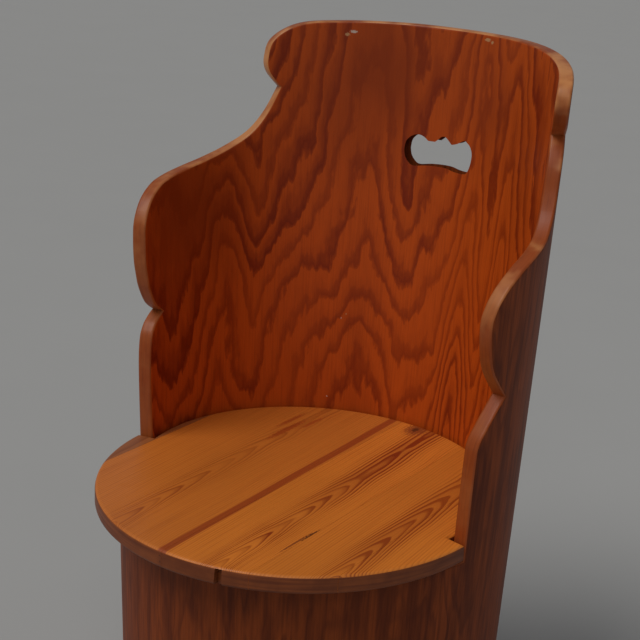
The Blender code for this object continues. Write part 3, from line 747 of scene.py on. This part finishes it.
# ---------------------------------------------------------------- camera, light and floor
CAMERA_TURN = (33.78, 17.77, 3.12)   # degrees: round from the front, down, and rolled
CAMERA_PLACE = (3.61, -5.44, 2.88)   # from the barrel's axis at seat height, in wall radii
LENS_TO_SENSOR = 2.225
SENSOR_WIDTH = 36.0
FLOOR_HALF_SIZE = 60.0


def place_camera():
    """Camera to one side of the chair's front and above its seat, rolled a few degrees."""
    swing, tip, roll = (math.radians(angle) for angle in CAMERA_TURN)
    back = Vector((math.sin(swing) * math.cos(tip), -math.cos(swing) * math.cos(tip), math.sin(tip)))
    right = Vector((math.cos(swing), math.sin(swing), 0.0))
    up = back.cross(right)
    turned_right = right * math.cos(roll) + up * math.sin(roll)
    turned_up = up * math.cos(roll) - right * math.sin(roll)
    data = bpy.data.cameras.new("camera")
    data.sensor_width = SENSOR_WIDTH
    data.lens = SENSOR_WIDTH * LENS_TO_SENSOR
    made = bpy.data.objects.new("camera", data)
    bpy.context.scene.collection.objects.link(made)
    matrix = Matrix((turned_right, turned_up, back)).transposed().to_4x4()
    matrix.translation = Vector(CAMERA_PLACE) * WALL_RADIUS + Vector((0.0, BARREL_Y, SEAT_HEIGHT))
    made.matrix_world = matrix
    bpy.context.scene.camera = made


def add_light(name, place, target, size, power, colour):
    """A soft round light of the given size and power, aimed at target."""
    data = bpy.data.lights.new(name, "AREA")
    data.shape = "DISK"
    data.size = size
    data.energy = power
    data.color = colour
    made = bpy.data.objects.new(name, data)
    bpy.context.scene.collection.objects.link(made)
    made.location = place
    made.rotation_mode = "QUATERNION"
    made.rotation_quaternion = (Vector(place) - Vector(target)).to_track_quat("Z", "Y")


def add_sun(name, towards, spread, strength, colour):
    """A broad soft overhead light that falls evenly on the whole floor."""
    data = bpy.data.lights.new(name, "SUN")
    data.angle = math.radians(spread)
    data.energy = strength
    data.color = colour
    made = bpy.data.objects.new(name, data)
    bpy.context.scene.collection.objects.link(made)
    made.rotation_mode = "QUATERNION"
    made.rotation_quaternion = Vector(towards).to_track_quat("Z", "Y")


def build_stage():
    """A plain pale floor under a soft sun, a small light for the edges and a dim grey sky."""
    n = Nodes("pale_floor")
    x, y, z = n.place()
    cloud = n.noise(n.vector(x, y, z), 5.0, 4.0, 0.55)
    colour = n.mix(cloud, (0.415, 0.415, 0.410), (0.435, 0.435, 0.430))
    material = n.finish(colour, 0.75, n.bump(cloud, 0.0004, 0.2))
    shape = bmesh.new()
    bmesh.ops.create_grid(shape, x_segments=2, y_segments=2, size=FLOOR_HALF_SIZE)
    mesh = bpy.data.meshes.new("floor")
    shape.to_mesh(mesh)
    shape.free()
    mesh.materials.append(material)
    floor = bpy.data.objects.new("floor", mesh)
    bpy.context.scene.collection.objects.link(floor)
    add_sun("key", (-0.28, -0.56, 1.0), 34.0, 1.36, (1.0, 0.98, 0.95))
    add_light("edge", (0.9, -1.4, 1.7), (0.0, 0.0, 0.4), 0.7, 3.0, (1.0, 0.98, 0.96))
    world = bpy.data.worlds.new("studio")
    world.use_nodes = True
    background = world.node_tree.nodes["Background"]
    background.inputs["Color"].default_value = (0.92, 0.94, 0.96, 1.0)
    background.inputs["Strength"].default_value = 0.22
    bpy.context.scene.world = world
    bpy.context.scene.view_settings.view_transform = "Standard"


# ---------------------------------------------------------------- build
place_camera()
build_stage()

SCUFF = (0.55, 0.48, 0.40)
CHIP = (0.50, 0.27, 0.12)
# small marks: (degrees from the back's middle, height above the seat, half width, half height, colour)
WALL_MARKS = [
    (-28.4, 0.3190, 1.2, 0.0013, SCUFF), (-30.2, 0.3165, 0.8, 0.0015, CHIP),
    (15.4, 0.3240, 1.3, 0.0014, CHIP), (17.2, 0.3225, 0.6, 0.0012, CHIP),
    (-26.8, 0.0803, 0.25, 0.0007, SCUFF), (-25.2, 0.0843, 0.2, 0.0008, CHIP),
    (-30.1, 0.0095, 0.25, 0.0007, SCUFF),
]
# painted shade, darkening painted into the inner wall's colour where shade falls, on the upper left and along
# the top: (degrees from the back's middle, half width, height above the seat, half height, strength)
PAINTED_SHADES = [
    (-82.0, 24.0, 0.175, 0.060, 0.80), (-28.0, 15.0, 0.255, 0.050, 0.40), (-14.0, 9.0, 0.295, 0.035, 0.35),
    (-8.0, 44.0, 0.315, 0.075, 0.38), (22.0, 7.0, 0.265, 0.035, 0.30),
]
# (degrees from the back's middle, half width, height)
GRAIN_HILLS = [
    (-70.0, 7.0, 0.055), (-20.0, 8.0, 0.050), (-7.5, 4.0, -0.035), (16.3, 6.0, 0.16), (32.0, 4.5, 0.10),
    (-57.0, 4.0, -0.030),
]
INNER_LIGHT = (0.53, 0.082, 0.005)
INNER_DARK = (0.20, 0.019, 0.002)
OUTER_LIGHT = (0.27, 0.052, 0.008)
OUTER_DARK = (0.08, 0.012, 0.003)
EDGE_LIGHT = (0.32, 0.062, 0.010)
EDGE_DARK = (0.20, 0.036, 0.007)
EDGE_WORN = (0.68, 0.29, 0.10)
WALL_MATERIALS = [
    veneer("varnished_veneer", INNER_LIGHT, INNER_DARK, GRAIN_HILLS, PAINTED_SHADES, 3.1, WALL_MARKS),
    outer_veneer("varnished_outer_veneer", OUTER_LIGHT, OUTER_DARK, 7.7),
    ply_edge("varnished_ply_edge", EDGE_LIGHT, EDGE_DARK, EDGE_WORN),
]
wall = piece("barrel_wall", build_wall(), WALL_MATERIALS, "chair", ["barrel_shell"])
hole_marks = [(x, SEAT_HEIGHT + height, corner) for x, height, corner in HAND_HOLE + HAND_HOLE[:1]]
hand_hole = smooth_run(hole_marks, CURVE_STEPS)[:-1]
carve(wall, upright_prism(hand_hole, BARREL_Y + HOLE_REACH[0], BARREL_Y + HOLE_REACH[1]), EDGE)
weigh_normals(wall)

LID = (0.73, 0.218, 0.026)
LID_LEFT = (0.65, 0.188, 0.024)
LID_GRAIN = (0.25, 0.034, 0.004)
# small marks: (x, distance behind the barrel's axis, half width, half length, colour)
LEFT_MARKS = [
    (-0.0665, 0.052, 0.0035, 0.030, (0.34, 0.055, 0.008)),
    (-0.0760, 0.072, 0.0022, 0.022, (0.36, 0.062, 0.009)),
    (-0.0590, 0.078, 0.0020, 0.018, (0.38, 0.066, 0.009)),
]
STRIPE = (-0.0112, -0.0042, (0.33, 0.060, 0.010))   # left, right and colour
KNOT = (0.07, 0.018, 0.006)
KNOT_RIM = (0.24, 0.050, 0.012)
CENTRE_MARKS = [
    (0.0150, 0.125, 0.010, 0.016, KNOT_RIM), (0.0146, 0.1235, 0.0028, 0.006, KNOT),
    (0.0590, -0.110, 0.0010, 0.022, (0.20, 0.045, 0.010)), (0.0604, -0.094, 0.0012, 0.012, KNOT),
]
SLIVER_WOOD = plank(
    "varnished_sliver", (0.36, 0.112, 0.032), (0.20, 0.050, 0.014), pith_x=-0.150, depth=0.030,
    spacing=0.0030, lean=0.02, seed=1.0, contrast=(0.35, 1.0),
)
LEFT_WOOD = plank(
    "varnished_left_board", LID_LEFT, LID_GRAIN, pith_x=-0.062, depth=0.010, spacing=0.0021, lean=0.070,
    seed=2.0, contrast=(0.42, 0.85), reach_back=0.065, stripe=STRIPE, spots=LEFT_MARKS,
)
CENTRE_WOOD = plank(
    "varnished_centre_board", LID, LID_GRAIN, pith_x=0.0330, depth=0.008, spacing=0.0021, lean=0.085,
    seed=4.0, contrast=(0.42, 1.7), reach_back=0.010, stripe=STRIPE, spots=CENTRE_MARKS,
)
RIGHT_WOOD = plank(
    "varnished_right_board", LID, LID_GRAIN, pith_x=0.1035, depth=0.008, spacing=0.0023, lean=0.085,
    seed=6.0, contrast=(0.42, 1.8), reach_back=0.055,
)
# small marks on the rim: (x, z, half width, half height, colour)
RIM_MARKS = [
    (-0.0046, SEAT_HEIGHT - 0.0040, 0.0007, 0.0006, KNOT),
    (-0.0042, SEAT_HEIGHT - 0.0085, 0.0007, 0.0007, KNOT),
]
RIM_WOOD = lip_rim("varnished_lip_rim", (0.24, 0.058, 0.012), (0.13, 0.026, 0.006), RIM_MARKS)
build_lid([SLIVER_WOOD, LEFT_WOOD, LEFT_WOOD, CENTRE_WOOD, RIGHT_WOOD, RIGHT_WOOD], RIM_WOOD)
WHITE = enamel("white_enamel", (0.82, 0.82, 0.78), (0.08, 0.06, 0.05))
BLUE = enamel("blue_rim_enamel", (0.03, 0.06, 0.22), (0.02, 0.02, 0.02))
build_pot(WHITE, BLUE)

# the hidden pieces keep their meshes and take bare wood, zinc or nylon
BARE = plank(
    "bare_pine", (0.56, 0.34, 0.16), (0.36, 0.17, 0.06), pith_x=0.01, depth=0.05, spacing=0.0042, lean=0.05,
    seed=11.0, contrast=(0.5, 0.8),
)
STEEL = zinc("zinc_plated_steel")
NYLON = nylon("moulded_nylon")
for node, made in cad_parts.items():
    if "screw" in node:
        material = STEEL
    elif node.startswith("glide"):
        material = NYLON
    else:
        material = BARE
    for material_slot in made.material_slots:
        material_slot.material = material

bpy.context.view_layer.update()
